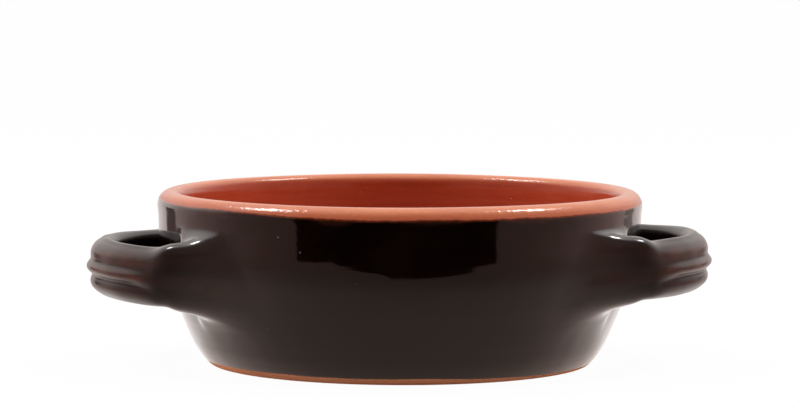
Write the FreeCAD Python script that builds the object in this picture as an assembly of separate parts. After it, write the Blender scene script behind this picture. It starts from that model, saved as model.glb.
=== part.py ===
"""Two-handled earthenware casserole, thrown and fired as one piece.

Millimetres, +Z up, origin at the middle of the underside, a handle on each end of the X axis.
The bowl is revolved. Each handle is a pulled strap of clay, lofted along its bow. Its two ends
stop inside the clay of the wall, and a soft fillet smooths each one into the wall's outer face.
"""

import math
import os

import FreeCAD
import Part

from FreeCAD import Vector

# Bowl, outside, from the rim down
RIM_DIAMETER = 180.0
BODY_HEIGHT = 64.2
RIM_BAND_HEIGHT = 8.6
RIM_BAND_STEP = 0.4
COLLAR_HEIGHT = 17.0
SHOULDER_RADIUS = 42.0
HEEL_RADIUS = 26.0
HEEL_STEEPNESS = 50.0
BASE_INSET = 19.5
FOOT_ROUND = 0.8

# Bowl, inside
WALL_THICKNESS = 8.2
FLOOR_THICKNESS = 8.0
INNER_CORNER_RADIUS = 18.0
RIM_OUTER_ROUND = 5.0

# Handles: how far they stand out from the rim, hang below it and spread along the wall
HANDLE_PROUD = 26.0
HANDLE_BELOW_RIM = 26.8
CREASE_SPREAD = 91.6
CREASE_GAP = 5.7
CREASE_RADIUS = 16.0
STRAP_HEIGHT = 21.0
STRAP_THICKNESS = 10.0
ROOT_TOE_IN = 10.0
ROOT_RISE = 1.5
ROOT_DROP = 4.5
ROOT_THICKNESS = 13.0
ROOT_FILLET = 4.0

# The strap's cross-section, as shares of its half thickness (outwards) and half height (up).
# From the top edge down the outer face: the broad upper lobe, the thumbed ridge, the groove under
# it and the lower lobe, then up the plain inner face.
STRAP_OUTLINE = (
    (-0.30, 1.00),
    (0.34, 0.83),
    (0.58, 0.45),
    (0.80, 0.20),
    (1.00, 0.01),
    (0.74, -0.20),
    (0.68, -0.42),
    (0.54, -0.70),
    (-0.10, -0.97),
    (-0.78, -0.78),
    (-1.00, -0.25),
    (-1.00, 0.25),
    (-0.86, 0.76),
)
ROOT_ROUNDNESS = 2.6

# How far before the crease the ridge starts to die out, and the root to swell
RIDGE_FADE = 14.0
ROOT_SWELL = 10.0

X_AXIS = Vector(1, 0, 0)
Z_AXIS = Vector(0, 0, 1)
ORIGIN = Vector(0, 0, 0)


def point(radius, height):
    """A point of the bowl's half section."""
    return Vector(radius, 0, height)


def on_circle(centre, radius, degrees):
    """The point of a circle in the half section, counted from +X towards +Z."""
    angle = math.radians(degrees)
    return centre + Vector(radius * math.cos(angle), 0, radius * math.sin(angle))


def line(start, end):
    return Part.LineSegment(start, end).toShape()


def arc(centre, radius, first, last):
    """An arc of the half section between two angles, in degrees."""
    middle = on_circle(centre, radius, (first + last) / 2)
    ends = on_circle(centre, radius, first), on_circle(centre, radius, last)
    return Part.Arc(ends[0], middle, ends[1]).toShape()


def shoulder_centre():
    """The shoulder's centre, which every depth of the wall shares."""
    wall = RIM_DIAMETER / 2 - RIM_BAND_STEP
    return point(wall - SHOULDER_RADIUS, BODY_HEIGHT - COLLAR_HEIGHT)


def heel_centre():
    """The heel's centre, from the foot and the steepness with which the heel comes down to it."""
    steepness = math.radians(HEEL_STEEPNESS)
    foot = RIM_DIAMETER / 2 - BASE_INSET
    return point(foot - HEEL_RADIUS * math.cos(steepness), HEEL_RADIUS * math.sin(steepness))


def wall_lean():
    """How far the straight of the wall leans in, in degrees: it touches both shoulder and heel."""
    across = shoulder_centre() - heel_centre()
    touch = math.acos((HEEL_RADIUS - SHOULDER_RADIUS) / across.Length)
    return math.degrees(touch - math.atan2(across.z, across.x))


def lean_direction():
    lean = math.radians(wall_lean())
    return Vector(math.sin(lean), 0, math.cos(lean))


def inward_normal():
    lean = math.radians(wall_lean())
    return Vector(-math.cos(lean), 0, math.sin(lean))


def lean_top(depth):
    """Where the leaning wall meets the shoulder, at a depth below the outer face."""
    return on_circle(shoulder_centre(), SHOULDER_RADIUS - depth, -wall_lean())


def foot_edges():
    """The base, the round of its foot, the heel and the leaning wall up to the shoulder."""
    heel = heel_centre()
    rise = FOOT_ROUND - heel.z
    reach = math.sqrt((HEEL_RADIUS - FOOT_ROUND) ** 2 - rise**2)
    foot_round = point(heel.x + reach, FOOT_ROUND)
    heel_start = math.degrees(math.atan2(rise, reach))
    return [
        line(ORIGIN, point(foot_round.x, 0)),
        arc(foot_round, FOOT_ROUND, -90, heel_start),
        arc(heel, HEEL_RADIUS, heel_start, -wall_lean()),
        line(on_circle(heel, HEEL_RADIUS, -wall_lean()), lean_top(0)),
    ]


def rim_edges():
    """The wall from the shoulder up, the rim's low band, and the rim's outer and inner rounds."""
    shoulder = shoulder_centre()
    rim_radius = RIM_DIAMETER / 2
    wall_radius = rim_radius - RIM_BAND_STEP
    inner_radius = wall_radius - WALL_THICKNESS
    band_foot = BODY_HEIGHT - RIM_BAND_HEIGHT
    groove = band_foot - 2 * RIM_BAND_STEP
    crest = rim_radius - RIM_OUTER_ROUND
    inner_round = crest - inner_radius
    outer = point(crest, BODY_HEIGHT - RIM_OUTER_ROUND)
    inner = point(crest, BODY_HEIGHT - inner_round)
    return [
        arc(shoulder, SHOULDER_RADIUS, -wall_lean(), 0),
        line(point(wall_radius, shoulder.z), point(wall_radius, groove)),
        line(point(wall_radius, groove), point(rim_radius, band_foot)),
        line(point(rim_radius, band_foot), point(rim_radius, outer.z)),
        arc(outer, RIM_OUTER_ROUND, 0, 90),
        arc(inner, inner_round, 90, 180),
        line(point(inner_radius, inner.z), point(inner_radius, shoulder.z)),
    ]


def inside_edges():
    """The inner shoulder, the leaning inside, the corner and the floor."""
    radius = SHOULDER_RADIUS - WALL_THICKNESS
    top = lean_top(WALL_THICKNESS)
    to_corner = top + inward_normal() * INNER_CORNER_RADIUS
    corner_height = FLOOR_THICKNESS + INNER_CORNER_RADIUS
    travel = (corner_height - to_corner.z) / lean_direction().z
    corner = to_corner + lean_direction() * travel
    return [
        arc(shoulder_centre(), radius, 0, -wall_lean()),
        line(top, on_circle(corner, INNER_CORNER_RADIUS, -wall_lean())),
        arc(corner, INNER_CORNER_RADIUS, -wall_lean(), -90),
        line(point(corner.x, FLOOR_THICKNESS), point(0, FLOOR_THICKNESS)),
        line(point(0, FLOOR_THICKNESS), ORIGIN),
    ]


def revolved(edges):
    return Part.Face(Part.Wire(edges)).revolve(ORIGIN, Z_AXIS, 360)


def core():
    """The space inside the middle of the wall's clay, which no handle root reaches."""
    depth = WALL_THICKNESS / 2
    shoulder = shoulder_centre()
    radius = SHOULDER_RADIUS - depth
    top = lean_top(depth)
    low = top - lean_direction() * (top.z / lean_direction().z)
    edge_of_wall = shoulder.x + radius
    return revolved(
        [
            line(ORIGIN, low),
            line(low, top),
            arc(shoulder, radius, -wall_lean(), 0),
            line(point(edge_of_wall, shoulder.z), point(edge_of_wall, BODY_HEIGHT)),
            line(point(edge_of_wall, BODY_HEIGHT), point(0, BODY_HEIGHT)),
            line(point(0, BODY_HEIGHT), ORIGIN),
        ]
    )


def strap_tip():
    """The outermost point of the strap's middle line."""
    return RIM_DIAMETER / 2 + HANDLE_PROUD - STRAP_THICKNESS / 2


def crease():
    """The crease on the strap's middle line, seen from above."""
    y = CREASE_SPREAD / 2
    from_axis = RIM_DIAMETER / 2 + CREASE_GAP + STRAP_THICKNESS / 2
    return math.sqrt(from_axis**2 - y**2), y


def bow_radius():
    """The radius of the bow's arc, which runs through its tip and both creases."""
    x, y = crease()
    depth = strap_tip() - x
    return (depth**2 + y**2) / (2 * depth)


def crease_angle():
    """How far the outer face has turned away from +X at the crease."""
    return math.asin(crease()[1] / bow_radius())


def root_angle():
    """How far it has turned where the root runs into the wall."""
    return math.radians(90 + ROOT_TOE_IN)


def bow_length():
    """Half the bow, from the strap's tip to its crease."""
    return bow_radius() * crease_angle()


def turn_length():
    return CREASE_RADIUS * (root_angle() - crease_angle())


def dive_length():
    """Far enough for the root's end to lie inside the core, where it is cut off."""
    return CREASE_GAP + ROOT_THICKNESS + 2 * WALL_THICKNESS


def strap_place(distance):
    """Where the strap's middle line is, seen from above, and which way its outer face looks."""
    radius = bow_radius()
    centre_x = strap_tip() - radius
    if distance <= bow_length():
        angle = distance / radius
        return centre_x + radius * math.cos(angle), radius * math.sin(angle), angle
    tighter = radius - CREASE_RADIUS
    turn_x = centre_x + tighter * math.cos(crease_angle())
    turn_y = tighter * math.sin(crease_angle())
    turned = min(distance - bow_length(), turn_length())
    angle = crease_angle() + turned / CREASE_RADIUS
    beyond = distance - bow_length() - turned
    x = turn_x + CREASE_RADIUS * math.cos(angle) - beyond * math.sin(angle)
    y = turn_y + CREASE_RADIUS * math.sin(angle) + beyond * math.cos(angle)
    return x, y, angle


def ease(value, start, end):
    """Runs smoothly from 0 at start to 1 at end."""
    share = min(1.0, max(0.0, (value - start) / (end - start)))
    return share * share * (3 - 2 * share)


def outline_spacing():
    """Where each outline point lies along its closed curve, the same for every section."""
    sizes = STRAP_THICKNESS / 2, STRAP_HEIGHT / 2
    corners = [(out * sizes[0], up * sizes[1]) for out, up in STRAP_OUTLINE]
    travelled = [0.0]
    for here, after in zip(corners, corners[1:] + corners[:1]):
        travelled.append(travelled[-1] + math.dist(here, after))
    return travelled


def strap_section(side, distance):
    """One closed section of the strap, a signed distance along it from the middle of its bow."""
    away = abs(distance)
    x, y, angle = strap_place(away)
    plain = ease(away, bow_length() - RIDGE_FADE, bow_length())
    swell = ease(away, bow_length() - ROOT_SWELL, bow_length() + turn_length())
    half_thickness = STRAP_THICKNESS / 2 + swell * (ROOT_THICKNESS - STRAP_THICKNESS) / 2
    middle = BODY_HEIGHT - HANDLE_BELOW_RIM
    points = []
    for outward, up in STRAP_OUTLINE:
        flat = max(0.0, 1 - abs(up) ** ROOT_ROUNDNESS)
        rounded = math.copysign(flat ** (1 / ROOT_ROUNDNESS), outward)
        out = half_thickness * (outward + plain * (rounded - outward))
        height = up * (STRAP_HEIGHT / 2 + swell * (ROOT_RISE if up > 0 else ROOT_DROP))
        along = side * (x + out * math.cos(angle))
        across = math.copysign(y + out * math.sin(angle), distance)
        points.append(Vector(along, across, middle + height))
    curve = Part.BSplineCurve()
    curve.interpolate(Points=points, Parameters=outline_spacing(), PeriodicFlag=True)
    return Part.Wire([curve.toShape()])


def strap_stations():
    """Distances along half the strap at which a section is set."""
    bow = [bow_length() * share for share in (0, 0.25, 0.5, 0.75, 1)]
    turn = [bow_length() + turn_length() * share for share in (0.5, 1)]
    dive = [bow_length() + turn_length() + dive_length() * share for share in (0.3, 0.6, 1)]
    return bow + turn + dive


def handle(side):
    """A strap from inside the wall, round its bow and back into the wall."""
    half = strap_stations()
    distances = [-distance for distance in reversed(half[1:])] + half
    sections = [strap_section(side, distance) for distance in distances]
    return Part.makeLoft(sections, True, False)


def touches(edge, shape):
    """True where the middle of an edge lies on the skin of a shape."""
    middle = edge.valueAt((edge.FirstParameter + edge.LastParameter) / 2)
    probe = Part.Vertex(middle)
    return min(probe.distToShape(face)[0] for face in shape.Faces) < 1e-3


def run_into_wall(bowl, strap):
    """Joins a strap to the bowl, with the clay smoothed into a fillet round both of its roots."""
    joined = bowl.fuse(strap)
    seams = [e for e in joined.Edges if touches(e, strap) and touches(e, bowl)]
    return joined.makeFillet(ROOT_FILLET, seams)


def casserole():
    body = revolved(foot_edges() + rim_edges() + inside_edges())
    middle = core()
    for side in (1, -1):
        body = run_into_wall(body, handle(side).cut(middle))
    return body


def main():
    os.makedirs("parts", exist_ok=True)
    shape = casserole()
    shape.exportStep("parts/casserole.step")
    box = shape.BoundBox
    print("solids", len(shape.Solids), "valid", shape.isValid(), "volume", round(shape.Volume))
    print("size", round(box.XLength, 2), round(box.YLength, 2), round(box.ZLength, 2))


main()
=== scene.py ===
"""The look of a small two-handled earthenware casserole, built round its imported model.

Metres, +Z up, a handle on each end of X. One quarter of the pot is drawn, spun and bridged, then
mirrored and subdivided into one fused piece of clay. Its one finish, which has both glazes and
the bare clay, is procedural.
"""

import math

import bmesh
import bpy
from mathutils import Matrix, Vector, noise


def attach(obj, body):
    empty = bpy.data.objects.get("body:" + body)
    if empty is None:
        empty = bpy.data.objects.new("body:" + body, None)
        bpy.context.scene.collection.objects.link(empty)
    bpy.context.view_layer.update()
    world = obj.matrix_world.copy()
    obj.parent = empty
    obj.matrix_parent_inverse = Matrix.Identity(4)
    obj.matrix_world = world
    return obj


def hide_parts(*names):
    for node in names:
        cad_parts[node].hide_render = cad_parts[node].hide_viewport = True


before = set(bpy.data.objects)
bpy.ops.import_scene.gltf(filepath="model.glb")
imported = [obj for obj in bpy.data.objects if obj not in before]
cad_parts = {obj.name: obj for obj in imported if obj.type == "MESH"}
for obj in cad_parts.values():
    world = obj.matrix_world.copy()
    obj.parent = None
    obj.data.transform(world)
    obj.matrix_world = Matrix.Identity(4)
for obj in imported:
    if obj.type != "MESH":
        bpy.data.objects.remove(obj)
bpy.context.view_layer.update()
bpy.ops.object.select_all(action="DESELECT")
bpy.context.scene.view_settings.view_transform = "Standard"

# The bowl's sizes, as in its solid
RIM_RADIUS = 0.0900
BODY_HEIGHT = 0.0642
BAND_STEP = 0.0004
BAND_FOOT = 0.0556
SHOULDER_RADIUS = 0.0420
SHOULDER_Z = 0.0472
HEEL_RADIUS = 0.0260
HEEL_STEEPNESS = math.radians(50.0)
BASE_RADIUS = 0.0705
WALL = 0.0082
FLOOR = 0.0080
INNER_CORNER = 0.0180
RIM_OUTER_ROUND = 0.0050
RIM_INNER_ROUND = 0.0036

# The smoothing draws the rim's rounds in a little, so they are drawn this much fuller
ROUND_FULLNESS = 0.0001

# Inside, the wall gets a little thicker downwards than the solid's, and the corner follows it
INNER_LEAN = 0.045
INNER_TOP = 0.0580
CORNER_X = 0.0561
CORNER_START = -23

# Where the half section has its points: by radius on the flats, and by height on the wall
UNDERSIDE_RINGS = (0.0, 0.010, 0.032, 0.056, BASE_RADIUS - 0.0012)
FOOT_RADIUS = BASE_RADIUS - 0.0001
HEEL_ROWS = (0.0008, 0.0030, 0.0072, 0.0122)
INNER_ROWS = (0.0547, 0.0472, 0.0405, 0.0340, 0.0285, 0.0236)
FLOOR_RINGS = (0.040, 0.024, 0.010, 0.0)

# The low band's lower edge, as shares of its step at heights from its foot
BAND_EDGE = ((0.80, -0.0004), (0.40, 0.0016))

# Columns of faces round a quarter of the pot
COLUMNS = 24

# The strap handles
STRAP_TIP = 0.1110
STRAP_Z = 0.0375
HALF_THICKNESS = 0.0050
HALF_HEIGHT = 0.0102
BOW_SAG = 0.0010
CREASE_Y = 0.0458
CREASE_X = 0.08968
CREASE_TURN = 0.0160
BOW_STEPS = 8
TURN_STEPS = 4
TURN_EACH = math.radians(9.5)

# The patch of wall that each root grows from, in columns from +X and in heights
ROOT_FIRST_COLUMN = 7
ROOT_LAST_COLUMN = 12
ROOT_ROWS = 10
ROOT_LOW = 0.0172
ROOT_HIGH = 0.0532

# How far the foot of each root is thumbed out along the wall, round which place and how widely,
# and how near the wall's face a point must be to move
FLARE_TURN = math.radians(6.0)
FLARE_ACROSS = math.radians(45.0)
FLARE_WIDTH = math.radians(16.0)
FLARE_HEIGHT = 0.026
FLARE_DEPTH = 0.024
FLARE_SKIN = 0.003

# By hand the left handle has ended lower than the right, and each leans down to the far side. The
# last two values bound the part of the pot that the straps are in
HANDLE_OFFSET = 0.00115
HANDLE_LEAN = 0.013
HANDLES_BEYOND = 0.6 * RIM_RADIUS
HANDLES_ABOVE = ROOT_LOW - 0.002

# A point this far out of the wall belongs to a strap altogether
STRAP_CLEAR = 0.0040

# How uneven the wall and the straps are, and how many waves of it there are to a metre
WALL_UNEVEN = 0.00022
WALL_WAVES = Vector((14, 14, 42))
STRAP_UNEVEN = 0.00035
STRAP_WAVES = 95
STRAP_SHIFT = Vector((3.1, 0.7, 9.2))

# The foot stays flat up to this height, and the unevenness grows over the next stretch
FLAT_FOOT = 0.002
FLAT_FADE = 0.008

# Levels of smoothing, and the small distances by which points are merged and told apart
SMOOTHING = 2
MERGE_WITHIN = 0.00002
LOWEST_WALL = 0.001
EDGE_SLACK = 0.0001
COLUMN_SLACK = 0.1
CLEAR_OF_MIRROR = 0.02


def select_mode(kind):
    bpy.ops.mesh.select_mode(type=kind)


def edit(piece):
    """Goes into edit mode on one piece, with nothing of it selected."""
    bpy.ops.object.select_all(action="DESELECT")
    bpy.context.view_layer.objects.active = piece
    piece.select_set(True)
    bpy.ops.object.mode_set(mode="EDIT")
    bpy.ops.mesh.select_all(action="DESELECT")


def leave_edit():
    bpy.ops.object.mode_set(mode="OBJECT")


def pick(piece, kind, wanted):
    """Selects the vertices, edges or faces of a piece in edit mode for which wanted() is true."""
    bpy.ops.mesh.select_all(action="DESELECT")
    select_mode(kind)
    mesh = bmesh.from_edit_mesh(piece.data)
    items = {"VERT": mesh.verts, "EDGE": mesh.edges, "FACE": mesh.faces}[kind]
    for item in items:
        if wanted(item):
            item.select_set(True)
    mesh.select_flush_mode()
    bmesh.update_edit_mesh(piece.data)


# The bowl


def heel_centre():
    return (
        BASE_RADIUS - HEEL_RADIUS * math.cos(HEEL_STEEPNESS),
        HEEL_RADIUS * math.sin(HEEL_STEEPNESS),
    )


def shoulder_x():
    return RIM_RADIUS - BAND_STEP - SHOULDER_RADIUS


def wall_lean():
    """The lean of the straight of the wall, which touches the shoulder's arc and the heel's."""
    x, z = heel_centre()
    across, up = shoulder_x() - x, SHOULDER_Z - z
    touch = math.acos((HEEL_RADIUS - SHOULDER_RADIUS) / math.hypot(across, up))
    return touch - math.atan2(up, across)


def wall_radius(z, depth=0.0):
    """The wall's radius at a height, at a depth below its outer face."""
    lean = wall_lean()
    arc = SHOULDER_RADIUS - depth
    heel_arc = HEEL_RADIUS - depth
    heel_x, heel_z = heel_centre()
    if z >= SHOULDER_Z:
        return shoulder_x() + arc
    if z >= SHOULDER_Z - arc * math.sin(lean):
        return shoulder_x() + math.sqrt(arc**2 - (SHOULDER_Z - z) ** 2)
    if z >= heel_z - heel_arc * math.sin(lean):
        top = SHOULDER_Z - arc * math.sin(lean)
        return shoulder_x() + arc * math.cos(lean) - (top - z) * math.tan(lean)
    return heel_x + math.sqrt(heel_arc**2 - (heel_z - z) ** 2)


def wall_beside(point):
    """The wall's radius at the height of a point, which may lie just past the wall's ends."""
    return wall_radius(max(LOWEST_WALL, min(point.z, BODY_HEIGHT)))


def arc_points(centre, radius, first, last, count):
    """Points of the half section along an arc, between two angles in degrees."""
    points = []
    for step in range(count):
        angle = math.radians(first + (last - first) * step / (count - 1))
        points.append((centre[0] + radius * math.cos(angle), centre[1] + radius * math.sin(angle)))
    return points


def underside_points():
    return [(radius, 0.0) for radius in UNDERSIDE_RINGS]


def outer_points():
    """The foot's round, the heel, the rows that carry the handles' roots and the low band."""
    step = (ROOT_HIGH - ROOT_LOW) / ROOT_ROWS
    heights = list(HEEL_ROWS)
    heights += [ROOT_LOW + step * row for row in range(ROOT_ROWS + 1)]
    points = [(FOOT_RADIUS, 0.0)]
    points += [(wall_radius(z), z) for z in heights]
    points += [(RIM_RADIUS - share * BAND_STEP, BAND_FOOT + up) for share, up in BAND_EDGE]
    return points


def rim_points():
    """Over the rim's outer round to its crest, and over its inner round to the inside."""
    crest = RIM_RADIUS - RIM_OUTER_ROUND
    outer_centre = crest, BODY_HEIGHT - RIM_OUTER_ROUND
    inner_centre = crest, BODY_HEIGHT - RIM_INNER_ROUND
    outer = arc_points(outer_centre, RIM_OUTER_ROUND + ROUND_FULLNESS, -2, 90, 5)
    inner = arc_points(inner_centre, RIM_INNER_ROUND + ROUND_FULLNESS, 90, 180, 4)
    return outer + inner[1:]


def inner_points():
    """Down the inside of the wall, round its corner and over the floor to the middle."""
    wall = [(wall_radius(z, WALL + INNER_LEAN * (INNER_TOP - z)), z) for z in INNER_ROWS]
    corner = arc_points((CORNER_X, FLOOR + INNER_CORNER), INNER_CORNER, CORNER_START, -90, 5)
    return wall + corner + [(radius, FLOOR) for radius in FLOOR_RINGS]


def draw_profile():
    """Half of the bowl's section, drawn from its first point by extruding it on to the next."""
    points = underside_points() + outer_points() + rim_points() + inner_points()
    here = points[0]
    bpy.ops.mesh.primitive_plane_add(size=0.001, location=(here[0], 0, here[1]))
    bowl = bpy.context.object
    bpy.ops.object.transform_apply(location=True, rotation=True, scale=True)
    edit(bowl)
    bpy.ops.mesh.select_all(action="SELECT")
    bpy.ops.mesh.merge(type="CENTER")
    for point in points[1:]:
        shift = (point[0] - here[0], 0, point[1] - here[1])
        bpy.ops.mesh.extrude_vertices_move(TRANSFORM_OT_translate={"value": shift})
        here = point
    leave_edit()
    return bowl


def spin_quarter(bowl):
    """Turns the profile through a quarter of the pot, from +X to +Y."""
    edit(bowl)
    bpy.ops.mesh.select_all(action="SELECT")
    bpy.ops.mesh.spin(
        steps=COLUMNS, angle=math.pi / 2, center=(0, 0, 0), axis=(0, 0, -1), use_auto_merge=False
    )
    leave_edit()


def column_of(point):
    return math.degrees(math.atan2(point.y, point.x)) / (90 / COLUMNS)


def in_root_patch(face):
    middle = face.calc_center_median()
    outside = math.hypot(middle.x, middle.y) > wall_radius(middle.z) - WALL / 2
    across = ROOT_FIRST_COLUMN < column_of(middle) < ROOT_LAST_COLUMN
    return outside and across and ROOT_LOW < middle.z < ROOT_HIGH


def open_root(bowl):
    """Takes the root's patch out of the wall and leaves its edge to be bridged."""
    edit(bowl)
    pick(bowl, "FACE", in_root_patch)
    bpy.ops.mesh.delete(type="FACE")
    leave_edit()


# The strap


def bow_radius():
    depth = STRAP_TIP - CREASE_X
    return (depth**2 + CREASE_Y**2) / (2 * depth)


def crease_angle():
    return math.asin(CREASE_Y / bow_radius())


# The strap's section, as shares of its half thickness outwards and its half height upwards: the
# outer face from the top down, the bottom edge, the inner face from the bottom up, the top edge.
# The first outline is the plain pulled strap. The second is its outer face where the thumb has
# drawn a ridge and a groove along it.
PLAIN_OUTER = (
    (0.20, 0.98),
    (0.60, 0.86),
    (0.84, 0.66),
    (0.96, 0.44),
    (1.01, 0.22),
    (1.02, 0.00),
    (1.01, -0.22),
    (0.96, -0.44),
    (0.86, -0.66),
    (0.62, -0.86),
    (0.22, -0.98),
)
RIDGED_OUTER = (
    (0.00, 0.96),
    (0.46, 0.84),
    (0.76, 0.60),
    (0.80, 0.40),
    (0.72, 0.24),
    (1.12, 0.07),
    (1.06, -0.13),
    (0.52, -0.29),
    (0.84, -0.46),
    (0.74, -0.76),
    (0.14, -0.97),
)
STRAP_BOTTOM = ((-0.10, -1.03), (-0.36, -1.05), (-0.62, -1.02), (-0.84, -0.94))
STRAP_INNER = (
    (-1.00, -0.84),
    (-1.04, -0.68),
    (-1.05, -0.51),
    (-1.05, -0.34),
    (-1.05, -0.17),
    (-1.05, 0.00),
    (-1.05, 0.17),
    (-1.05, 0.34),
    (-1.05, 0.51),
    (-1.04, 0.68),
    (-1.00, 0.84),
)
STRAP_TOP = ((-0.84, 0.94), (-0.62, 1.02), (-0.36, 1.05), (-0.12, 1.03))
STRAP_REST = STRAP_BOTTOM + STRAP_INNER + STRAP_TOP

# Places of the section that the glaze has run off, so that the clay's red shows through
THIN_GLAZE = {0: 0.2, 1: 0.4, 2: 0.8, 3: 0.6, 4: 0.15, 5: 1.0, 6: 1.0, 8: 0.2, 9: 0.5, 10: 0.5}

# For each ring of the strap, counted from the crease: how far its ridge has died out, which it has
# altogether past the crease, and how far it has swollen into the root
RIDGE_DYING = {-1: 0.12, 0: 0.7}
ROOT_SWELLING = {0: 0.04, 1: 0.22, 2: 0.50, 3: 0.80, 4: 1.0}

# What a full swelling adds: thickness, height above and below the middle, a fan and a tilt
ROOT_THICKER = 0.0014
ROOT_RISE = 0.0032
ROOT_DROP = 0.0034
ROOT_FAN = 0.0014
ROOT_TILT = 0.0036
TILT_HASTE = 1.6

# How late in the bow the strap sags, and how much of its thin glaze is lost at the root
SAG_CURVE = 1.5
THIN_DYING = 0.8

# The last ring of the strap stops this far from the wall, and the bridge closes the gap
ROOT_GAP = 0.0034


def outline_place(index, plain):
    """A place of the strap's section, between its ridged and its plain outline."""
    outer = len(PLAIN_OUTER)
    if index >= outer:
        return STRAP_REST[index - outer]
    ridged, smooth = RIDGED_OUTER[index], PLAIN_OUTER[index]
    return tuple(r + plain * (p - r) for r, p in zip(ridged, smooth))


def ring_point(index, plain, swell, middle, angle):
    """A place of one ring of the strap, in space, for a ring whose outer face looks at an angle."""
    outward, up = outline_place(index, plain)
    out = outward * (HALF_THICKNESS + swell * ROOT_THICKER)
    out += up * ROOT_TILT * min(1.0, TILT_HASTE * swell)
    spread = swell * ROOT_RISE if up > 0 else swell**2 * ROOT_DROP
    height = up * (HALF_HEIGHT + spread + swell * outward * ROOT_FAN)
    x = middle[0] + out * math.cos(angle)
    y = middle[1] + out * math.sin(angle)
    sag = BOW_SAG * min(1.0, angle / crease_angle()) ** SAG_CURVE
    return Vector((x, y, STRAP_Z - sag + height))


def draw_strap():
    """The strap's section at the tip of its bow, a ring shaped from a circle."""
    count = len(PLAIN_OUTER) + len(STRAP_REST)
    bpy.ops.mesh.primitive_circle_add(vertices=count, radius=HALF_HEIGHT)
    strap = bpy.context.object
    strap.data.attributes.new("place", "INT", "POINT")
    strap.data.attributes.new("thin_glaze", "FLOAT", "POINT")
    places = strap.data.attributes["place"]
    thin = strap.data.attributes["thin_glaze"]
    for index, vertex in enumerate(strap.data.vertices):
        vertex.co = ring_point(index, 0.0, 0.0, (STRAP_TIP, 0), 0.0)
        places.data[index].value = index
        thin.data[index].value = THIN_GLAZE.get(index, 0.0)
    return strap


def spin_ring(centre, angle):
    """Turns the selected ring on by one step about an upright axis."""
    bpy.ops.mesh.spin(steps=1, angle=angle, center=centre, axis=(0, 0, 1), use_auto_merge=False)


def shape_ring(strap, plain, swell, middle, angle, wall_gap=None):
    """Gives the selected ring its section. With a gap, it is run on until it nears the wall."""
    mesh = bmesh.from_edit_mesh(strap.data)
    places = mesh.verts.layers.int["place"]
    thin = mesh.verts.layers.float["thin_glaze"]
    forward = Vector((-math.sin(angle), math.cos(angle)))
    for vertex in mesh.verts:
        if not vertex.select:
            continue
        point = ring_point(vertex[places], plain, swell, middle, angle)
        kept = 1 - THIN_DYING * max(plain, swell)
        vertex[thin] = kept * THIN_GLAZE.get(vertex[places], 0.0)
        if wall_gap is not None:
            flat = point.xy
            reach = wall_radius(point.z) + wall_gap
            along = flat.dot(forward)
            inside = along**2 - flat.length_squared + reach**2
            flat = flat + forward * (-along - math.sqrt(max(inside, 0.0)))
            point = Vector((flat.x, flat.y, point.z))
        vertex.co = point
    bmesh.update_edit_mesh(strap.data)


def sweep_strap(strap):
    """Half of the strap: round the bow to the crease, then round the tighter turn to the wall."""
    radius = bow_radius()
    bow_x = STRAP_TIP - radius
    crease = crease_angle()
    turn = radius - CREASE_TURN
    turn_x, turn_y = bow_x + turn * math.cos(crease), turn * math.sin(crease)
    edit(strap)
    bpy.ops.mesh.select_all(action="SELECT")
    for step in range(1, BOW_STEPS + 1):
        angle = crease * step / BOW_STEPS
        spin_ring((bow_x, 0, STRAP_Z), crease / BOW_STEPS)
        middle = bow_x + radius * math.cos(angle), radius * math.sin(angle)
        ring = step - BOW_STEPS
        plain, swell = RIDGE_DYING.get(ring, 0.0), ROOT_SWELLING.get(ring, 0.0)
        shape_ring(strap, plain, swell, middle, angle)
    for step in range(1, TURN_STEPS + 1):
        angle = crease + TURN_EACH * step
        spin_ring((turn_x, turn_y, STRAP_Z), TURN_EACH)
        middle = (
            turn_x + CREASE_TURN * math.cos(angle),
            turn_y + CREASE_TURN * math.sin(angle),
        )
        last = step == TURN_STEPS
        shape_ring(strap, 1.0, ROOT_SWELLING[step], middle, angle, ROOT_GAP if last else None)
    leave_edit()


def on_root_edge(bowl_column, point):
    """True on the open edge of the root's patch in the wall."""
    first, last = ROOT_FIRST_COLUMN - COLUMN_SLACK, ROOT_LAST_COLUMN + COLUMN_SLACK
    outside = math.hypot(point.x, point.y) > wall_radius(point.z) - WALL / 2
    level = ROOT_LOW - EDGE_SLACK < point.z < ROOT_HIGH + EDGE_SLACK
    return outside and level and first < bowl_column < last


def join_root(pot):
    """Bridges the strap's last ring to the open patch of the wall."""
    edit(pot)

    def open_to_bridge(one):
        if not one.is_boundary:
            return False
        middle = (one.verts[0].co + one.verts[1].co) / 2
        clear = middle.xy.length > wall_radius(middle.z) + ROOT_GAP / 2
        on_strap = clear and middle.y > CLEAR_OF_MIRROR
        return on_strap or on_root_edge(column_of(middle), middle)

    pick(pot, "EDGE", open_to_bridge)
    bpy.ops.mesh.bridge_edge_loops()
    leave_edit()


def mirror_pot(pot):
    """Makes the whole pot of its quarter."""
    mirror = pot.modifiers.new("mirror", "MIRROR")
    mirror.use_axis = (True, True, False)
    mirror.use_clip = True
    mirror.merge_threshold = MERGE_WITHIN
    bpy.context.view_layer.objects.active = pot
    bpy.ops.object.modifier_apply(modifier=mirror.name)


def strap_share(point):
    """How far a point belongs to a strap, from 0 on the wall to 1 well clear of it."""
    clear = (point.xy.length - wall_beside(point)) / STRAP_CLEAR
    return max(0.0, min(1.0, clear))


def settle_handles(pot):
    """Sets the left strap a little lower than the right, and both a little lower at the far end."""
    for vertex in pot.data.vertices:
        point = vertex.co
        if abs(point.x) < HANDLES_BEYOND or not HANDLES_ABOVE <= point.z <= BAND_FOOT:
            continue
        side = 1 if point.x > 0 else -1
        vertex.co.z += strap_share(point) * (side * HANDLE_OFFSET - point.y * HANDLE_LEAN)


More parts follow.
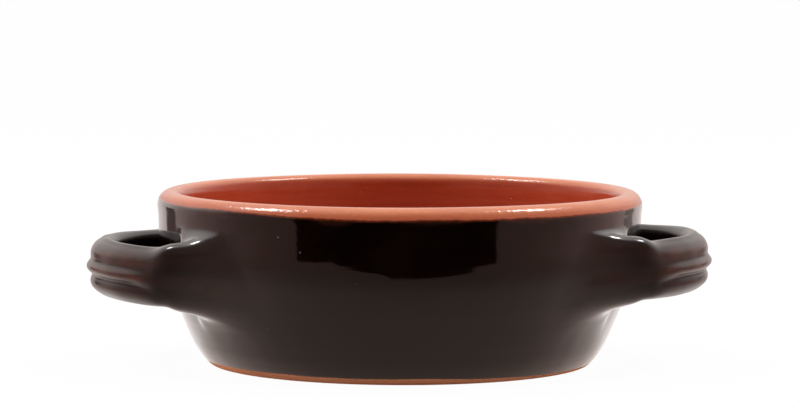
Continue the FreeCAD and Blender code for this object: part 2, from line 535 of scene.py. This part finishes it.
def flare_roots(pot):
    """Spreads the lower part of each root's edge along the wall, as a thumb presses it down."""
    for vertex in pot.data.vertices:
        point = vertex.co
        off_wall = abs(point.xy.length - wall_beside(point))
        if off_wall > FLARE_SKIN or not LOWEST_WALL <= point.z <= BAND_FOOT:
            continue
        turn = math.atan2(abs(point.y), abs(point.x))
        across = max(0.0, 1 - abs(turn - FLARE_ACROSS) / FLARE_WIDTH)
        down = max(0.0, 1 - abs(point.z - FLARE_HEIGHT) / FLARE_DEPTH)
        spread = FLARE_TURN * (3 - 2 * across) * across**2 * (3 - 2 * down) * down**2
        length = point.xy.length
        vertex.co.x = math.copysign(length * math.cos(turn + spread), point.x)
        vertex.co.y = math.copysign(length * math.sin(turn + spread), point.y)


def leave_uneven(pot):
    """Leaves the slight unevenness of thrown and pulled clay in the wall, the rim and the straps."""
    pushes = []
    for vertex in pot.data.vertices:
        point = vertex.co
        level = min(1.0, max(0.0, (point.z - FLAT_FOOT) / FLAT_FADE))
        strap = strap_share(point) if point.z < BAND_FOOT else 0.0
        turned = noise.noise(point * WALL_WAVES)
        pulled = noise.noise(point * STRAP_WAVES + STRAP_SHIFT)
        push = WALL_UNEVEN * turned * (1 - strap) + STRAP_UNEVEN * pulled * strap
        pushes.append(vertex.normal * push * level)
    for vertex, push in zip(pot.data.vertices, pushes):
        vertex.co += push


def finish_mesh(pot):
    edit(pot)
    bpy.ops.mesh.select_all(action="SELECT")
    bpy.ops.mesh.remove_doubles(threshold=MERGE_WITHIN)
    bpy.ops.mesh.normals_make_consistent(inside=False)
    leave_edit()
    settle_handles(pot)
    flare_roots(pot)
    leave_uneven(pot)
    smooth = pot.modifiers.new("smooth", "SUBSURF")
    smooth.levels = SMOOTHING
    smooth.render_levels = SMOOTHING
    bpy.ops.object.modifier_apply(modifier=smooth.name)
    bpy.ops.object.shade_smooth()


def build_pot():
    bowl = draw_profile()
    spin_quarter(bowl)
    open_root(bowl)
    strap = draw_strap()
    sweep_strap(strap)
    bpy.ops.object.select_all(action="DESELECT")
    strap.select_set(True)
    bowl.select_set(True)
    bpy.context.view_layer.objects.active = bowl
    bpy.ops.object.join()
    bowl.name = "pot"
    join_root(bowl)
    mirror_pot(bowl)
    finish_mesh(bowl)
    return bowl


# Finishes


def new_finish(name):
    """A new material, its tree of nodes and its shader."""
    material = bpy.data.materials.new(name)
    material.use_nodes = True
    tree = material.node_tree
    shader = tree.nodes["Principled BSDF"]
    return material, tree, shader


def set_input(tree, socket, value):
    """Puts a number, a colour or another node's output into a socket."""
    if isinstance(value, bpy.types.NodeSocket):
        tree.links.new(value, socket)
    else:
        socket.default_value = value


def work_out(tree, operation, first, second=None, third=None):
    """Works out one step of arithmetic on numbers and on other nodes' outputs."""
    node = tree.nodes.new("ShaderNodeMath")
    node.operation = operation
    for socket, value in zip(node.inputs, (first, second, third)):
        if value is not None:
            set_input(tree, socket, value)
    return node.outputs[0]


def ramp(tree, value, low, high, low_out=0.0, high_out=1.0, smooth=True):
    """Maps a value between two bounds onto two others, and holds it there beyond them."""
    node = tree.nodes.new("ShaderNodeMapRange")
    node.interpolation_type = "SMOOTHSTEP" if smooth else "LINEAR"
    for name, number in (
        ("Value", value),
        ("From Min", low),
        ("From Max", high),
        ("To Min", low_out),
        ("To Max", high_out),
    ):
        set_input(tree, node.inputs[name], number)
    return node.outputs["Result"]


def off_axis(tree, x, y):
    """How far a place is from the upright axis through the pot's middle."""
    x_squared = work_out(tree, "MULTIPLY", x, x)
    return work_out(tree, "SQRT", work_out(tree, "MULTIPLY_ADD", y, y, x_squared))


def blend_colours(tree, share, first, second):
    """Runs from the first colour to the second as a share goes from 0 to 1."""
    node = tree.nodes.new("ShaderNodeMix")
    node.data_type = "RGBA"
    set_input(tree, node.inputs["Factor"], share)
    set_input(tree, node.inputs["A"], first)
    set_input(tree, node.inputs["B"], second)
    return node.outputs["Result"]


def grain(tree, where, scale, detail=2.0, roughness=0.5, stretch=None):
    """Soft noise over the clay, in lumps of about 1 / scale metres."""
    if stretch is not None:
        mapping = tree.nodes.new("ShaderNodeMapping")
        tree.links.new(where, mapping.inputs["Vector"])
        mapping.inputs["Scale"].default_value = stretch
        where = mapping.outputs["Vector"]
    node = tree.nodes.new("ShaderNodeTexNoise")
    tree.links.new(where, node.inputs["Vector"])
    node.inputs["Scale"].default_value = scale
    node.inputs["Detail"].default_value = detail
    node.inputs["Roughness"].default_value = roughness
    return node.outputs["Fac"]


def specks(tree, where, scale, size, share):
    """Small round specks: 1 inside a speck and 0 outside, on only a share of the cells."""
    cells = tree.nodes.new("ShaderNodeTexVoronoi")
    tree.links.new(where, cells.inputs["Vector"])
    cells.inputs["Scale"].default_value = scale
    near = ramp(tree, cells.outputs["Distance"], size * 0.6, size, 1.0, 0.0)
    channels = tree.nodes.new("ShaderNodeSeparateColor")
    tree.links.new(cells.outputs["Color"], channels.inputs["Color"])
    chosen = work_out(tree, "LESS_THAN", channels.outputs["Red"], share)
    return work_out(tree, "MULTIPLY", near, chosen)


def raise_surface(tree, height, distance, under=None):
    """Relief as high as distance where height is 1, on top of other relief where that is given."""
    node = tree.nodes.new("ShaderNodeBump")
    node.inputs["Strength"].default_value = 1.0
    node.inputs["Distance"].default_value = distance
    tree.links.new(height, node.inputs["Height"])
    if under is not None:
        tree.links.new(under, node.inputs["Normal"])
    return node.outputs["Normal"]


# Colours of the clay under its clear glaze, of the bare clay and of the dark glaze. The bare foot's
# colours are painted lighter than its clay, as painted light where the floor shades the foot
INSIDE_DEEP = (0.40, 0.046, 0.015, 1)
INSIDE_PALE = (0.54, 0.088, 0.036, 1)
RIM_DEEP = (0.52, 0.138, 0.064, 1)
RIM_PALE = (0.75, 0.257, 0.118, 1)
RIM_RED_AND_SHADE = (0.48, 0.110, 0.052, 1)
CLAY_GROG = (0.74, 0.34, 0.20, 1)
FOOT_DEEP = (0.90, 0.310, 0.145, 1)
FOOT_PALE = (0.97, 0.430, 0.220, 1)
GLAZE_DARK = (0.0026, 0.0007, 0.0004, 1)
GLAZE_BROWN = (0.0072, 0.0021, 0.0011, 1)
GLAZE_THIN = (0.0780, 0.0200, 0.0100, 1)
GLAZE_EDGE = (0.2100, 0.0360, 0.0130, 1)

# How many lumps or specks to a metre each pattern has
WANDER = 28.0
FRAY = 420.0
MOTTLE = 34.0
TURNING = 1400.0
STREAKS = 60.0
GROG = 900.0
POOLS = 45.0
THIN_STREAKS = 160.0
RUNS = 55.0
DULLNESS = 90.0
RINGS = 22.0
WAVES = 75.0
SKIN = 520.0
PEEL = 650.0
PITS = 260.0

# The specks' sizes, and which share of their cells has one
GROG_SIZE = 0.30
GROG_CELLS = 0.18
PIT_SIZE = 0.11
PIT_CELLS = 0.05

# The middle of the wall, which parts the outside from the inside: its radius at the floor and above
MIDDLE_LOW = 0.0620
MIDDLE_HIGH = 0.0832
MIDDLE_UPRIGHT_FROM = 0.026

# The dark glaze's upper edge: it falls from the left handle to the middle of the pot, wanders in
# waves and is frayed
GLAZE_TOP = 0.06055
TOP_FALL = 0.0014
TOP_FALL_START = -0.084
TOP_FALL_END = -0.005
TOP_WANDER = 0.0016
TOP_FRAY = 0.0007
TOP_BLUR = 0.00035

# Its lower edge: the bare foot is widest left of the middle and narrows to both sides
FOOT_BARE = 0.0019
FOOT_BARE_LEFT = 0.0008
FOOT_LEFT_START = -0.078
FOOT_LEFT_END = -0.062
FOOT_RIGHT_FALL = 0.0012
FOOT_RIGHT_END = 0.060
FOOT_WANDER = 0.0008
FOOT_FRAY = 0.0002
FOOT_BLUR = 0.00025

# The rim's paler clay: above this height inside, over the crest, and reddened near the dark glaze,
# where the red is partly the clay's own and partly painted shade on the rim below its crest
RIM_LINE = 0.0610
RIM_LINE_WANDER = 0.0010
RIM_BLUR = 0.0014
CREST_INNER = 0.0842
CREST_OUTER = 0.0852
RIM_PATCHES = 0.35
RED_AND_SHADE_REACH = 0.0030
RED_AND_SHADE_SHARE = 0.90
GROG_SHARE = 0.12

# How far the dark glaze has run thin under its upper edge, and how thin it is there and at the foot
RUN_SHORT = 0.0014
RUN_LONG = 0.0036
RUN_START = 0.0004
TOP_THINNESS = 0.35
FOOT_THINNESS = 0.6
FOOT_THIN_START = 0.0001
FOOT_THIN_END = 0.0006
EDGE_WIDTH = 0.0011

# Roughness, from the smoothest to the dullest places
GLAZE_SMOOTH = 0.055
GLAZE_DULL = 0.11
CLEAR_SMOOTH = 0.13
CLEAR_DULL = 0.24
BARE_ROUGH = 0.85

# The handles, outside the wall and below the band, are a little duller than the wall
HANDLED = 0.16
WALL_END = 0.0898
HANDLE_START = 0.0908
HANDLE_TOP = 0.0548
BAND_START = 0.0560

# The glaze's glassy outer layer: full on the dark wall, less inside, and little on rim and straps
COAT_INSIDE = 0.60
COAT_RIM = 0.10
COAT_STRAP = 0.12
STRAP_START = 0.093
STRAP_FULL = 0.103

# Heights of the relief, in metres
RINGS_HIGH = 0.00035
WAVES_HIGH = 0.00022
SKIN_HIGH = 0.000018
PEEL_HIGH = 0.00015
PITS_DEEP = 0.00015
FOOT_HIGH = 0.00018
STEP_HIGH = 0.00011


class PotPlaces:
    """Where a point of the pot lies, and which clay or glaze it belongs to."""

    def __init__(self, tree):
        self.tree = tree
        self.where = tree.nodes.new("ShaderNodeTexCoord").outputs["Object"]
        parts = tree.nodes.new("ShaderNodeSeparateXYZ")
        tree.links.new(self.where, parts.inputs["Vector"])
        self.x, y, self.z = parts.outputs
        self.radius = off_axis(tree, self.x, y)
        self.wander = grain(tree, self.where, WANDER, detail=3.0, roughness=0.6)
        self.fray = grain(tree, self.where, FRAY, detail=2.0)
        self.mottle = grain(tree, self.where, MOTTLE, detail=3.0)
        self.turning = self.turning_marks()
        self.below_top = self.depth_below_glaze_top()
        self.above_foot = self.height_above_bare_foot()
        self.glazed = ramp(tree, self.above_foot, 0.0, FOOT_BLUR)
        self.bare = work_out(tree, "SUBTRACT", 1.0, self.glazed)
        self.dark = self.under_dark_glaze()
        self.on_rim = self.over_the_rim()

    def turning_marks(self):
        """The fine rings that turning left on the bare clay underneath."""
        marks = self.tree.nodes.new("ShaderNodeTexNoise")
        marks.noise_dimensions = "1D"
        marks.inputs["Scale"].default_value = TURNING
        marks.inputs["Detail"].default_value = 2.0
        self.tree.links.new(self.radius, marks.inputs["W"])
        return marks.outputs["Fac"]

    def depth_below_glaze_top(self):
        """How far below the dark glaze's ragged upper edge a point is."""
        tree = self.tree
        fall = ramp(tree, self.x, TOP_FALL_START, TOP_FALL_END, 0.0, TOP_FALL)
        edge = work_out(tree, "MULTIPLY_ADD", self.wander, TOP_WANDER, GLAZE_TOP)
        edge = work_out(tree, "MULTIPLY_ADD", self.fray, TOP_FRAY, edge)
        edge = work_out(tree, "SUBTRACT", edge, fall)
        return work_out(tree, "SUBTRACT", edge, self.z)

    def height_above_bare_foot(self):
        """How far above the dark glaze's lower edge a point is."""
        tree = self.tree
        left = ramp(tree, self.x, FOOT_LEFT_START, FOOT_LEFT_END, FOOT_BARE_LEFT, FOOT_BARE)
        fall = ramp(tree, self.x, 0.0, FOOT_RIGHT_END, 0.0, FOOT_RIGHT_FALL)
        edge = work_out(tree, "SUBTRACT", left, fall)
        edge = work_out(tree, "MULTIPLY_ADD", self.wander, FOOT_WANDER, edge)
        edge = work_out(tree, "MULTIPLY_ADD", self.fray, FOOT_FRAY, edge)
        return work_out(tree, "SUBTRACT", self.z, edge)

    def under_dark_glaze(self):
        """1 on the outside between the dark glaze's two edges."""
        tree = self.tree
        upright = MIDDLE_UPRIGHT_FROM
        middle = ramp(tree, self.z, 0.0, upright, MIDDLE_LOW, MIDDLE_HIGH, smooth=False)
        outside = work_out(tree, "GREATER_THAN", self.radius, middle)
        dipped = ramp(tree, self.below_top, 0.0, TOP_BLUR)
        dark = work_out(tree, "MULTIPLY", dipped, self.glazed)
        return work_out(tree, "MULTIPLY", dark, outside)

    def over_the_rim(self):
        """1 on the rim's paler clay, at the top of the inside and past the crest."""
        tree = self.tree
        line = work_out(tree, "MULTIPLY_ADD", self.mottle, RIM_LINE_WANDER, RIM_LINE)
        above_line = ramp(tree, work_out(tree, "SUBTRACT", self.z, line), 0.0, RIM_BLUR)
        past_crest = ramp(tree, self.radius, CREST_INNER, CREST_OUTER)
        return work_out(tree, "MAXIMUM", above_line, past_crest)


def clay_colour(tree, places):
    """The clay under its clear glaze, streaked round the pot by the throwing, and the bare foot,
    painted brighter than its clay as painted light.
    """
    where = places.where
    streaks = grain(tree, where, STREAKS, detail=3.0, roughness=0.6, stretch=(1.0, 1.0, 9.0))
    inside = blend_colours(tree, streaks, INSIDE_DEEP, INSIDE_PALE)
    rim = blend_colours(tree, streaks, RIM_DEEP, RIM_PALE)
    patches = ramp(tree, places.mottle, 0.45, 0.8, 0.0, RIM_PATCHES)
    rim = blend_colours(tree, patches, rim, RIM_RED_AND_SHADE)
    # Partly the clay's own red line at the dark glaze's edge, partly painted shade on the rim below
    # its crest
    reddened_and_shaded = ramp(tree, places.below_top, -RED_AND_SHADE_REACH, 0.0, 0.0, RED_AND_SHADE_SHARE)
    rim = blend_colours(tree, reddened_and_shaded, rim, RIM_RED_AND_SHADE)
    clay = blend_colours(tree, places.on_rim, inside, rim)
    grog = specks(tree, where, GROG, GROG_SIZE, GROG_CELLS)
    grog = work_out(tree, "MULTIPLY", grog, GROG_SHARE)
    clay = blend_colours(tree, grog, clay, CLAY_GROG)
    # The bare foot: its clay's orange with turning marks, painted brighter as painted light against
    # the shade at the floor
    foot = blend_colours(tree, places.turning, FOOT_DEEP, FOOT_PALE)
    return blend_colours(tree, places.bare, clay, foot)


def dark_glaze_colour(tree, places):
    """The dark glaze, brown where it is thin: at its edges, along the ridges and on the lobes."""
    where = places.where
    pool = grain(tree, where, POOLS, detail=3.0, roughness=0.6)
    glaze = blend_colours(tree, ramp(tree, pool, 0.3, 0.8), GLAZE_DARK, GLAZE_BROWN)
    ridges = tree.nodes.new("ShaderNodeAttribute")
    ridges.attribute_name = "thin_glaze"
    streaks = grain(tree, where, THIN_STREAKS, detail=3.0, stretch=(1.0, 1.0, 2.5))
    streaked = ramp(tree, streaks, 0.3, 0.7, 0.4, 1.0)
    on_ridges = work_out(tree, "MULTIPLY", ridges.outputs["Fac"], streaked)
    runs = grain(tree, where, RUNS, detail=2.0)
    run_end = ramp(tree, runs, 0.45, 0.70, RUN_SHORT, RUN_LONG)
    at_top = ramp(tree, places.below_top, RUN_START, run_end, TOP_THINNESS, 0.0)
    at_foot = ramp(tree, places.above_foot, FOOT_THIN_START, FOOT_THIN_END, FOOT_THINNESS, 0.0)
    thin = work_out(tree, "MAXIMUM", on_ridges, work_out(tree, "MAXIMUM", at_top, at_foot))
    glaze = blend_colours(tree, thin, glaze, GLAZE_THIN)
    edge = ramp(tree, places.below_top, 0.0, EDGE_WIDTH, 1.0, 0.0)
    return blend_colours(tree, edge, glaze, GLAZE_EDGE)


def set_roughness(tree, shader, places):
    """Smooth dark glaze, duller clear glaze and handles, and rough bare clay."""
    dull = grain(tree, places.where, DULLNESS, detail=3.0)
    dark = ramp(tree, dull, 0.3, 0.8, GLAZE_SMOOTH, GLAZE_DULL)
    clear = ramp(tree, dull, 0.3, 0.8, CLEAR_SMOOTH, CLEAR_DULL)
    rough = ramp(tree, places.dark, 0.0, 1.0, clear, dark, smooth=False)
    off_wall = ramp(tree, places.radius, WALL_END, HANDLE_START)
    below_band = ramp(tree, places.z, HANDLE_TOP, BAND_START, 1.0, 0.0)
    on_handle = work_out(tree, "MULTIPLY", off_wall, below_band)
    rough = work_out(tree, "MULTIPLY_ADD", on_handle, HANDLED, rough)
    rough = ramp(tree, places.bare, 0.0, 1.0, rough, BARE_ROUGH, smooth=False)
    set_input(tree, shader.inputs["Roughness"], rough)


def set_coat(tree, shader, places):
    """The glaze's glassy outer layer, which the bare clay lacks."""
    coat = ramp(tree, places.on_rim, 0.0, 1.0, COAT_INSIDE, COAT_RIM, smooth=False)
    coat = ramp(tree, places.dark, 0.0, 1.0, coat, 1.0, smooth=False)
    kept = ramp(tree, places.radius, STRAP_START, STRAP_FULL, 1.0, COAT_STRAP)
    coat = work_out(tree, "MULTIPLY", coat, kept)
    set_input(tree, shader.inputs["Coat Weight"], work_out(tree, "MULTIPLY", coat, places.glazed))
    shader.inputs["Coat Roughness"].default_value = 0.10
    shader.inputs["Coat IOR"].default_value = 1.5


def set_relief(tree, shader, places):
    """Faint throwing rings, the glaze's slow waves, skin, pits and step, and the bare clay."""
    where = places.where
    rings = grain(tree, where, RINGS, detail=2.0, stretch=(0.15, 0.15, 6.0))
    normal = raise_surface(tree, rings, RINGS_HIGH)
    waves = grain(tree, where, WAVES, detail=1.0)
    normal = raise_surface(tree, waves, WAVES_HIGH, under=normal)
    skin = grain(tree, where, SKIN, detail=2.0)
    normal = raise_surface(tree, skin, SKIN_HIGH, under=normal)
    not_dark = work_out(tree, "SUBTRACT", 1.0, places.dark)
    pale_rim = work_out(tree, "MULTIPLY", places.on_rim, not_dark)
    peel = work_out(tree, "MULTIPLY", grain(tree, where, PEEL, detail=2.0), pale_rim)
    normal = raise_surface(tree, peel, PEEL_HIGH, under=normal)
    pits = work_out(tree, "MULTIPLY", specks(tree, where, PITS, PIT_SIZE, PIT_CELLS), -1.0)
    normal = raise_surface(tree, pits, PITS_DEEP, under=normal)
    rough_foot = work_out(tree, "MULTIPLY", places.turning, places.bare)
    normal = raise_surface(tree, rough_foot, FOOT_HIGH, under=normal)
    normal = raise_surface(tree, places.dark, STEP_HIGH, under=normal)
    set_input(tree, shader.inputs["Normal"], normal)
    set_input(tree, shader.inputs["Coat Normal"], normal)


def glazed_clay():
    """Terracotta, clear-glazed inside and over the rim, dark glazed outside and bare underneath."""
    material, tree, shader = new_finish("glazed_clay")
    places = PotPlaces(tree)
    clay = clay_colour(tree, places)
    glaze = dark_glaze_colour(tree, places)
    set_input(tree, shader.inputs["Base Color"], blend_colours(tree, places.dark, clay, glaze))
    set_roughness(tree, shader, places)
    set_coat(tree, shader, places)
    set_relief(tree, shader, places)
    return material


pot = build_pot()
pot.data.materials.append(glazed_clay())
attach(pot, "root")
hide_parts("casserole")


# The setting

CAMERA_AZIMUTH = math.radians(2.5)
CAMERA_DISTANCE = 1.300
CAMERA_HEIGHT = 0.1617
CAMERA_PITCH = math.radians(4.478)
CAMERA_ROLL = 0.0034
LENS = 157.7


def about_camera(across, ahead, up):
    """A place given across the view, ahead of the pot's middle and above the floor."""
    turn = Matrix.Rotation(-CAMERA_AZIMUTH, 4, "Z")
    return turn @ Vector((across, ahead, up))


def aim_camera():
    """A long lens from a little above the rim, turned a little so the left handle is nearer."""
    data = bpy.data.cameras.new("camera")
    data.lens = LENS
    data.sensor_width = 36.0
    data.clip_end = 40.0
    camera = bpy.data.objects.new("camera", data)
    bpy.context.scene.collection.objects.link(camera)
    place = about_camera(0, -CAMERA_DISTANCE, CAMERA_HEIGHT)
    turn = Matrix.Rotation(-CAMERA_AZIMUTH, 4, "Z")
    tilt = Matrix.Rotation(math.pi / 2 - CAMERA_PITCH, 4, "X")
    roll = Matrix.Rotation(CAMERA_ROLL, 4, "Z")
    camera.matrix_world = Matrix.Translation(place) @ turn @ tilt @ roll
    bpy.context.scene.camera = camera


FLOOR_SIZE = 40.0
FLOOR_GAP = 0.00005
FLOOR_BRIGHT = 0.97

# What gloss sees high up in the room, in front of the pot and behind it
FRONT_GLEAM = (0.235, 0.170, 0.145, 1)
BACK_GLEAM = (1.0, 0.93, 0.90, 1)

# What gloss sees of the floor close to the pot, by its place from the front to behind: painted shade
# from the pot in front of it, running to painted light behind it
NEAR_GLEAM = (
    (-0.20, (0.11, 0.076, 0.062, 1)),
    (-0.15, (0.152, 0.103, 0.083, 1)),
    (-0.085, (0.30, 0.220, 0.185, 1)),
    (-0.066, (0.35, 0.260, 0.220, 1)),
    (-0.045, (0.52, 0.40, 0.36, 1)),
    (-0.017, (0.73, 0.62, 0.57, 1)),
    (0.012, (1.00, 0.92, 0.89, 1)),
)

# What gloss sees of the floor further off and of the horizon, by its direction from the front (-1)
# to behind (1)
# On the floor these colours are painted shade in front of the pot and painted light behind it; in
# the world they are its light
FAR_GLEAM = (
    (-1.0, (0.16, 0.09, 0.075, 1)),
    (-0.5, (0.22, 0.12, 0.095, 1)),
    (-0.06, (0.365, 0.225, 0.205, 1)),
    (0.26, (0.50, 0.31, 0.28, 1)),
    (0.52, (0.58, 0.43, 0.40, 1)),
    (0.80, (0.76, 0.65, 0.62, 1)),
    (1.0, (0.76, 0.69, 0.66, 1)),
)

# How far from the pot's middle the one runs over into the other
NEAR_REACH = 0.115
FAR_REACH = 0.25


def colour_steps(tree, value, stops):
    """A colour that runs from stop to stop as a value grows."""
    first, last = stops[0][0], stops[-1][0]
    node = tree.nodes.new("ShaderNodeValToRGB")
    elements = node.color_ramp.elements
    for place, colour in stops[1:-1]:
        elements.new((place - first) / (last - first)).color = colour
    elements[0].color, elements[-1].color = stops[0][1], stops[-1][1]
    tree.links.new(ramp(tree, value, first, last, smooth=False), node.inputs["Fac"])
    return node.outputs["Color"]


def painted_floor_gleam(tree):
    """What gloss sees of the floor: painted shade in front of the pot and painted light behind it.
    """
    places = tree.nodes.new("ShaderNodeSeparateXYZ")
    where = tree.nodes.new("ShaderNodeTexCoord").outputs["Object"]
    tree.links.new(where, places.inputs["Vector"])
    x, y = places.outputs["X"], places.outputs["Y"]
    away = off_axis(tree, x, y)
    near = colour_steps(tree, y, NEAR_GLEAM)
    far = colour_steps(tree, work_out(tree, "DIVIDE", y, away), FAR_GLEAM)
    return blend_colours(tree, ramp(tree, away, NEAR_REACH, FAR_REACH), near, far)


def lay_floor():
    """A plain white floor, nearly as bright as the background, and dimmer in gloss in front, as
    painted shade.
    """
    bpy.ops.mesh.primitive_plane_add(size=FLOOR_SIZE, location=(0, 0, -FLOOR_GAP))
    floor = bpy.context.object
    floor.name = "floor"
    material, tree, shader = new_finish("white_floor")
    shader.inputs["Base Color"].default_value = (0.86, 0.86, 0.86, 1)
    shader.inputs["Roughness"].default_value = 0.9
    shader.inputs["Specular IOR Level"].default_value = 0.1
    lit = tree.nodes.new("ShaderNodeEmission")
    lit.inputs["Strength"].default_value = 1.0
    rays = tree.nodes.new("ShaderNodeLightPath")
    glossy = rays.outputs["Is Glossy Ray"]
    # In gloss the floor glows in its painted shade and light rather than showing its lit white
    colour = blend_colours(tree, glossy, (1, 1, 1, 1), painted_floor_gleam(tree))
    tree.links.new(colour, lit.inputs["Color"])
    seen = work_out(tree, "MAXIMUM", rays.outputs["Is Camera Ray"], glossy)
    share = work_out(tree, "MULTIPLY", seen, FLOOR_BRIGHT)
    mix = tree.nodes.new("ShaderNodeMixShader")
    tree.links.new(share, mix.inputs["Fac"])
    tree.links.new(shader.outputs["BSDF"], mix.inputs[1])
    tree.links.new(lit.outputs["Emission"], mix.inputs[2])
    tree.links.new(mix.outputs["Shader"], tree.nodes["Material Output"].inputs["Surface"])
    floor.data.materials.append(material)


# The black card's place ahead of the pot's middle, and its height above its lower edge
BLACK_CARD = (0.001, 0.0, 0.0, 1)
CARD_AHEAD = -0.125
CARD_HEIGHT = 0.090

# Its lower edge, as places across the view and heights above the floor
CARD_EDGE = (
    (-0.0862, 0.0308),
    (-0.0480, 0.0346),
    (-0.0426, 0.0309),
    (-0.0280, 0.0292),
    (-0.0130, 0.0271),
    (-0.0040, 0.0222),
    (0.0205, 0.0216),
    (0.0340, 0.0235),
    (0.0479, 0.0260),
    (0.0680, 0.0302),
    (0.0786, 0.0317),
)


def plain_card(name, colour):
    """Card that looks the same from all sides, whatever light falls on it."""
    material, _, shader = new_finish(name)
    shader.inputs["Base Color"].default_value = (0, 0, 0, 1)
    shader.inputs["Specular IOR Level"].default_value = 0.0
    shader.inputs["Roughness"].default_value = 1.0
    shader.inputs["Emission Color"].default_value = colour
    shader.inputs["Emission Strength"].default_value = 1.0
    return material


def show_in_gloss_only(card):
    """Hides a card from everything but gloss."""
    card.visible_camera = False
    card.visible_diffuse = False
    card.visible_shadow = False
    card.visible_transmission = False


def hang_card():
    """A black card close in front of the pot, which only its gloss can see."""
    places = [about_camera(across, CARD_AHEAD, up) for across, up in CARD_EDGE]
    bpy.ops.mesh.primitive_plane_add(size=0.001, location=places[0])
    card = bpy.context.object
    card.name = "black_card"
    bpy.ops.object.transform_apply(location=True, rotation=True, scale=True)
    edit(card)
    select_mode("VERT")
    bpy.ops.mesh.select_all(action="SELECT")
    bpy.ops.mesh.merge(type="CENTER")
    for here, there in zip(places, places[1:]):
        shift = tuple(there - here)
        bpy.ops.mesh.extrude_vertices_move(TRANSFORM_OT_translate={"value": shift})
    bpy.ops.mesh.select_all(action="SELECT")
    bpy.ops.mesh.extrude_edges_move(TRANSFORM_OT_translate={"value": (0, 0, CARD_HEIGHT)})
    leave_edit()
    card.data.materials.append(plain_card("black_card", BLACK_CARD))
    show_in_gloss_only(card)


FLAGS = (
    (-1, "flag_left", (0.14, 0.09, 0.08, 1)),
    (1, "flag_right", (0.30, 0.24, 0.22, 1)),
)
FLAG_ACROSS = 0.30
FLAG_AHEAD = 0.22
FLAG_TURN = math.radians(41.0)
FLAG_WIDTH = 0.080
FLAG_HEIGHT = 0.060


def stand_flags():
    """A narrow grey flag behind the pot on each side, which only its gloss can see."""
    for side, name, colour in FLAGS:
        bpy.ops.mesh.primitive_plane_add(size=1.0)
        flag = bpy.context.object
        flag.name = name
        flag.scale = (FLAG_WIDTH, FLAG_HEIGHT, 1)
        flag.rotation_euler = (math.pi / 2, 0, -side * FLAG_TURN)
        flag.location = about_camera(side * FLAG_ACROSS, FLAG_AHEAD, FLAG_HEIGHT / 2)
        bpy.ops.object.transform_apply(location=True, rotation=True, scale=True)
        flag.data.materials.append(plain_card(name, colour))
        show_in_gloss_only(flag)


# The even fill's strength in front and behind, and what it gains to both sides
FILL_FRONT = 0.12
FILL_BACK = 0.75
FILL_SIDES = 0.80
FILL_TURN = 0.5
SIDES_START = 0.45
SIDES_FULL = 0.95

# How much height counts as being behind, where the room turns from its front to its back, and how
# high up it takes over from the horizon
HEIGHT_SHARE = 0.6
ROOM_FRONT = 0.10
ROOM_BACK = 0.75
HORIZON_END = 0.05
ROOM_START = 0.40


def light_world():
    """A white room to the eye, in gloss dimmer towards the front, and a fill on all else."""
    world = bpy.data.worlds.new("world")
    bpy.context.scene.world = world
    world.use_nodes = True
    tree = world.node_tree
    background = tree.nodes["Background"]
    direction = tree.nodes.new("ShaderNodeTexCoord").outputs["Generated"]
    parts = tree.nodes.new("ShaderNodeSeparateXYZ")
    tree.links.new(direction, parts.inputs["Vector"])
    height = work_out(tree, "MAXIMUM", parts.outputs["Z"], 0.0)
    facing = work_out(tree, "MULTIPLY_ADD", height, HEIGHT_SHARE, parts.outputs["Y"])
    horizon = colour_steps(tree, parts.outputs["Y"], FAR_GLEAM)
    behind = ramp(tree, facing, ROOM_FRONT, ROOM_BACK)
    room = blend_colours(tree, behind, FRONT_GLEAM, BACK_GLEAM)
    gleam = blend_colours(tree, ramp(tree, height, HORIZON_END, ROOM_START), horizon, room)
    rays = tree.nodes.new("ShaderNodeLightPath")
    glossy = rays.outputs["Is Glossy Ray"]
    colour = blend_colours(tree, glossy, (1, 1, 1, 1), gleam)
    tree.links.new(colour, background.inputs["Color"])
    seen = work_out(tree, "MAXIMUM", rays.outputs["Is Transmission Ray"], glossy)
    seen = work_out(tree, "MAXIMUM", seen, rays.outputs["Is Camera Ray"])
    fill = ramp(tree, facing, -FILL_TURN, FILL_TURN, FILL_FRONT, FILL_BACK)
    sideways = work_out(tree, "ABSOLUTE", parts.outputs["X"])
    gain = ramp(tree, sideways, SIDES_START, SIDES_FULL, 0.0, FILL_SIDES)
    fill = work_out(tree, "ADD", fill, gain)
    tree.links.new(ramp(tree, seen, 0, 1, fill, 1.0, smooth=False), background.inputs["Strength"])


TOP_PLACE = (0, 0.15, 1.3)
TOP_AIM = (0, 0, 0)
TOP_SIZE = 1.4
TOP_POWER = 1.4
SIDE_ACROSS = 0.81
SIDE_AHEAD = 0.19
SIDE_UP = 1.25
SIDE_AIM = (0, 0, 0.04)
SIDE_SIZE = 0.30
SIDE_POWER = 8.0


def add_softbox(name, place, aim, size, power):
    data = bpy.data.lights.new(name, "AREA")
    data.shape = "SQUARE"
    data.size = size
    data.energy = power
    lamp = bpy.data.objects.new(name, data)
    bpy.context.scene.collection.objects.link(lamp)
    lamp.location = place
    lamp.rotation_euler = (Vector(aim) - Vector(place)).to_track_quat("-Z", "Y").to_euler()


def light_studio():
    """A large soft light overhead and a smaller, stronger one high up on each side."""
    add_softbox("top_light", TOP_PLACE, TOP_AIM, TOP_SIZE, TOP_POWER)
    for side in (-1, 1):
        place = about_camera(side * SIDE_ACROSS, SIDE_AHEAD, SIDE_UP)
        add_softbox("side_light", place, SIDE_AIM, SIDE_SIZE, SIDE_POWER)


aim_camera()
lay_floor()
hang_card()
stand_flags()
light_world()
light_studio()
